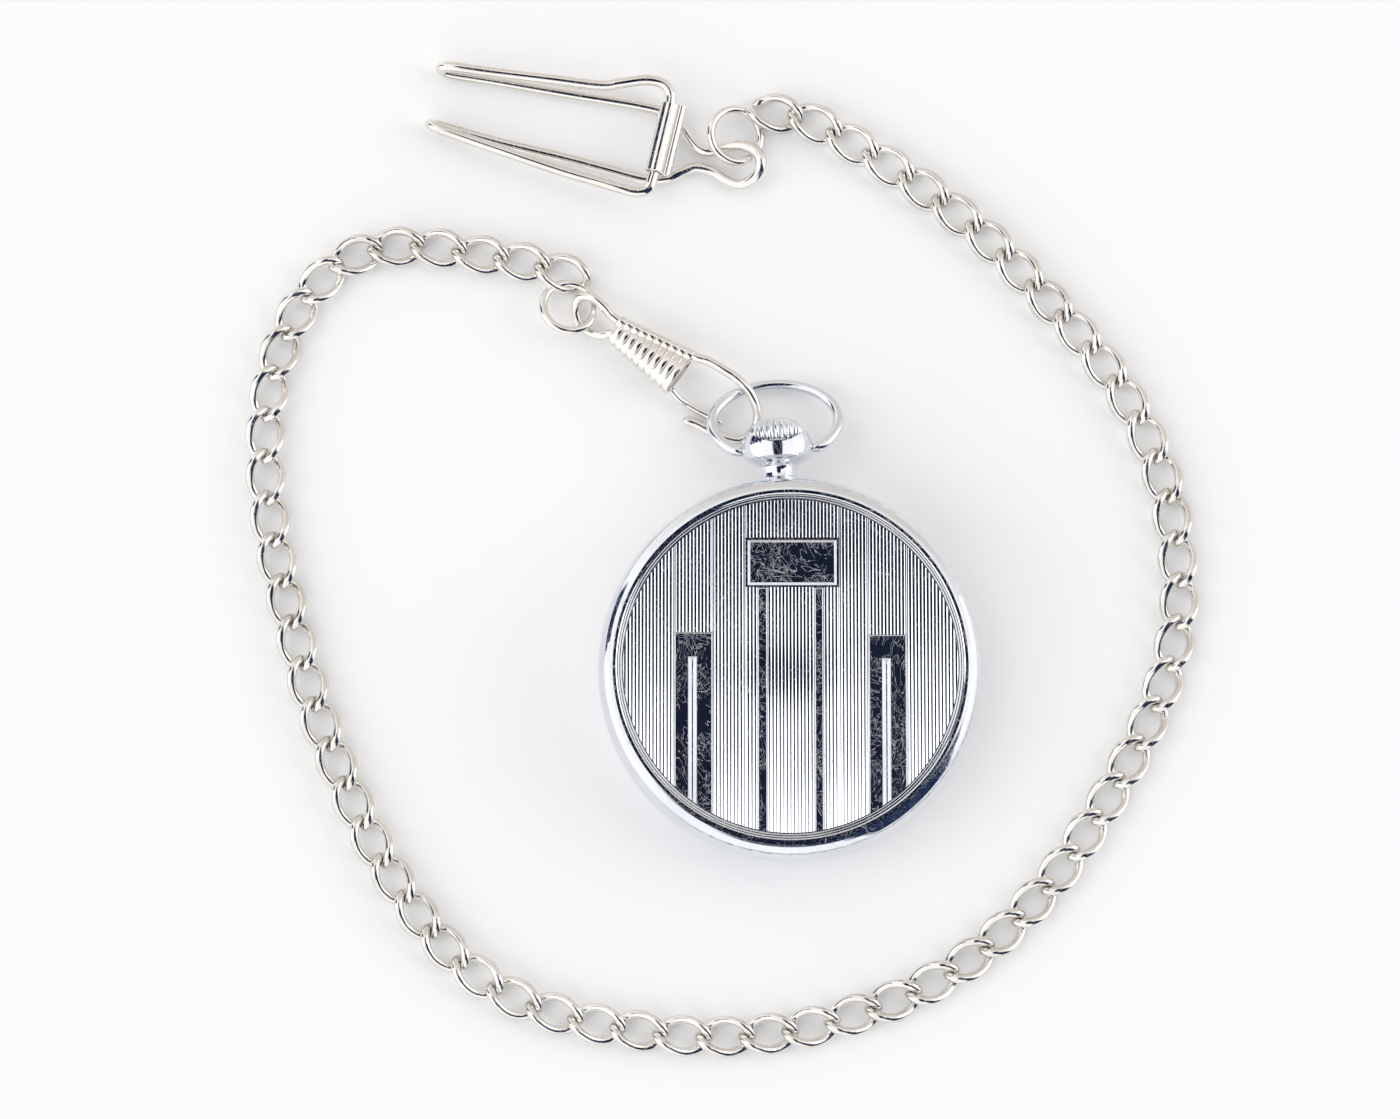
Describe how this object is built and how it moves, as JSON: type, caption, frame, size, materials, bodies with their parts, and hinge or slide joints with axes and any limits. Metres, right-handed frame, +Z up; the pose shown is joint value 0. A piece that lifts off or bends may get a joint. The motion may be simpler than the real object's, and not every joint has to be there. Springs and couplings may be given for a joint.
{
  "type": "pocket watch",
  "caption": "Open-face pocket watch lying on its crystal, back up, with pendant, bow, fluted crown, snap-hook, curb chain and belt clip.",
  "frame": {"origin": "centre of the crystal's flat outer face, which is what the watch lies on", "axes": "+Z up, out of the engraved back; +Y from the case's centre to the pendant and crown; +X to the right seen from the back"},
  "size_m": [0.1097, 0.119, 0.0096],
  "materials": {
    "case_chrome": "polished, cool chrome",
    "back_chrome": "polished with fine engraved lines",
    "warm_nickel": "bright warm nickel plating",
    "brass": "gilt",
    "steel": "polished steel",
    "blued_steel": "heat-blued steel",
    "nickel_plate": "nickel-plated, striped",
    "dial_enamel": "matt ivory",
    "crystal_glass": "clear"
  },
  "bodies": {
    "chain_set": {"clasp_hook": "warm_nickel", "clasp_eye": "warm_nickel", "clasp_barrel": "warm_nickel", "clasp_ring": "warm_nickel", "chain": "warm_nickel", "clip_ring": "warm_nickel", "clip_wire": "warm_nickel", "clip_sleeve": "warm_nickel"},
    "gate": {"clasp_gate": "warm_nickel"},
    "bow": {"bow": "case_chrome"},
    "case": {"case_band": "case_chrome", "pendant": "case_chrome", "front_bezel": "case_chrome", "crystal": "crystal_glass", "dial": "dial_enamel", "main_plate": "nickel_plate", "barrel_bridge": "nickel_plate", "train_bridge": "nickel_plate", "balance_cock": "nickel_plate", "pillar_1": "brass", "pillar_2": "brass", "pillar_3": "brass", "bridge_screw_1": "blued_steel", "bridge_screw_2": "blued_steel", "bridge_screw_3": "blued_steel", "cock_screw": "blued_steel", "case_screw_1": "blued_steel", "case_screw_2": "blued_steel", "hairspring": "blued_steel"},
    "back": {"case_back": "back_chrome"},
    "winding_pinion": {"winding_pinion": "steel"},
    "crown": {"crown": "case_chrome", "stem": "steel"},
    "crown_wheel": {"crown_wheel": "steel"},
    "ratchet": {"ratchet_wheel": "steel", "barrel_arbor": "steel"},
    "click": {"click": "steel"},
    "barrel": {"barrel": "brass", "barrel_lid": "brass", "mainspring": "steel"},
    "centre": {"centre_wheel": "brass", "cannon_pinion": "steel", "minute_hand": "blued_steel"},
    "third": {"third_wheel": "brass"},
    "fourth": {"fourth_wheel": "brass", "seconds_hand": "blued_steel"},
    "escape": {"escape_wheel": "steel"},
    "minute_wheel": {"minute_wheel": "brass"},
    "hour": {"hour_wheel": "brass", "hour_hand": "blued_steel"},
    "pallets": {"pallet_fork": "steel"},
    "balance": {"balance_wheel": "brass"}
  },
  "joints": [
    {"name": "bow_on_hook", "type": "hinge", "parent": "chain_set", "child": "bow", "pos_m": [-0.0032, 0.0342, 0.0013], "axis": [0, 0, 1], "range_deg": [-5, 5]},
    {"name": "bow_swing", "type": "hinge", "parent": "bow", "child": "case", "pos_m": [0, 0.0262, 0.00485], "axis": [-1, 0, 0], "range_deg": [0, 95]},
    {"name": "gate_flex", "type": "hinge", "parent": "chain_set", "child": "gate", "pos_m": [-0.012, 0.03435, 0.002], "axis": [0, 0, 1], "range_deg": [0, 12], "stiffness_Nm_per_rad": 0.005},
    {"name": "back_lift", "type": "slide", "parent": "case", "child": "back", "axis": [0, 0, 1], "range_m": [0, 0.015]},
    {"name": "crown_turn", "type": "hinge", "parent": "case", "child": "winding_pinion", "pos_m": [0, 0.0134, 0.00485], "axis": [0, 1, 0], "continuous": true},
    {"name": "crown_pull", "type": "slide", "parent": "winding_pinion", "child": "crown", "axis": [0, 1, 0], "range_m": [0, 0.001]},
    {"name": "crown_wheel_turn", "type": "hinge", "parent": "case", "child": "crown_wheel", "pos_m": [0, 0.0115, 0.0075], "axis": [0, 0, 1], "continuous": true},
    {"name": "ratchet_turn", "type": "hinge", "parent": "case", "child": "ratchet", "pos_m": [-0.00778, 0.00545, 0.0075], "axis": [0, 0, 1], "continuous": true},
    {"name": "click_pivot", "type": "hinge", "parent": "case", "child": "click", "pos_m": [-0.00895, -0.00283, 0.0075], "axis": [0, 0, 1], "range_deg": [0, 10], "stiffness_Nm_per_rad": 0.00002},
    {"name": "barrel_turn", "type": "hinge", "parent": "case", "child": "barrel", "pos_m": [-0.00778, 0.00545, 0.0056], "axis": [0, 0, 1], "continuous": true},
    {"name": "minute_hand_turn", "type": "hinge", "parent": "case", "child": "centre", "pos_m": [0, 0, 0.0055], "axis": [0, 0, 1], "continuous": true},
    {"name": "third_wheel_turn", "type": "hinge", "parent": "case", "child": "third", "pos_m": [0.00331, -0.00472, 0.0058], "axis": [0, 0, 1], "continuous": true},
    {"name": "seconds_hand_turn", "type": "hinge", "parent": "case", "child": "fourth", "pos_m": [0, -0.0086, 0.0054], "axis": [0, 0, 1], "continuous": true},
    {"name": "escape_wheel_turn", "type": "hinge", "parent": "case", "child": "escape", "pos_m": [-0.00297, -0.01214, 0.0051], "axis": [0, 0, 1], "continuous": true},
    {"name": "minute_wheel_turn", "type": "hinge", "parent": "case", "child": "minute_wheel", "pos_m": [0.0018, 0.00312, 0.0036], "axis": [0, 0, 1], "continuous": true},
    {"name": "hour_hand_turn", "type": "hinge", "parent": "case", "child": "hour", "pos_m": [0, 0, 0.0032], "axis": [0, 0, 1], "continuous": true},
    {"name": "pallet_rock", "type": "hinge", "parent": "case", "child": "pallets", "pos_m": [-0.0057, -0.01103, 0.0051], "axis": [0, 0, 1], "range_deg": [-3, 3]},
    {"name": "balance_swing", "type": "hinge", "parent": "case", "child": "balance", "pos_m": [-0.0092, -0.0096, 0.0059], "axis": [0, 0, 1], "range_deg": [-135, 135], "stiffness_Nm_per_rad": 0.00000043}
  ],
  "couplings": [
    {"joint": "crown_wheel_turn", "follows": "crown_turn", "ratio": -0.5},
    {"joint": "ratchet_turn", "follows": "crown_turn", "ratio": 0.3},
    {"joint": "third_wheel_turn", "follows": "seconds_hand_turn", "ratio": -0.13333},
    {"joint": "minute_hand_turn", "follows": "seconds_hand_turn", "ratio": 0.016667},
    {"joint": "barrel_turn", "follows": "seconds_hand_turn", "ratio": -0.0020833},
    {"joint": "escape_wheel_turn", "follows": "seconds_hand_turn", "ratio": -10},
    {"joint": "minute_wheel_turn", "follows": "seconds_hand_turn", "ratio": -0.0055556},
    {"joint": "hour_hand_turn", "follows": "seconds_hand_turn", "ratio": 0.0013889}
  ]
}
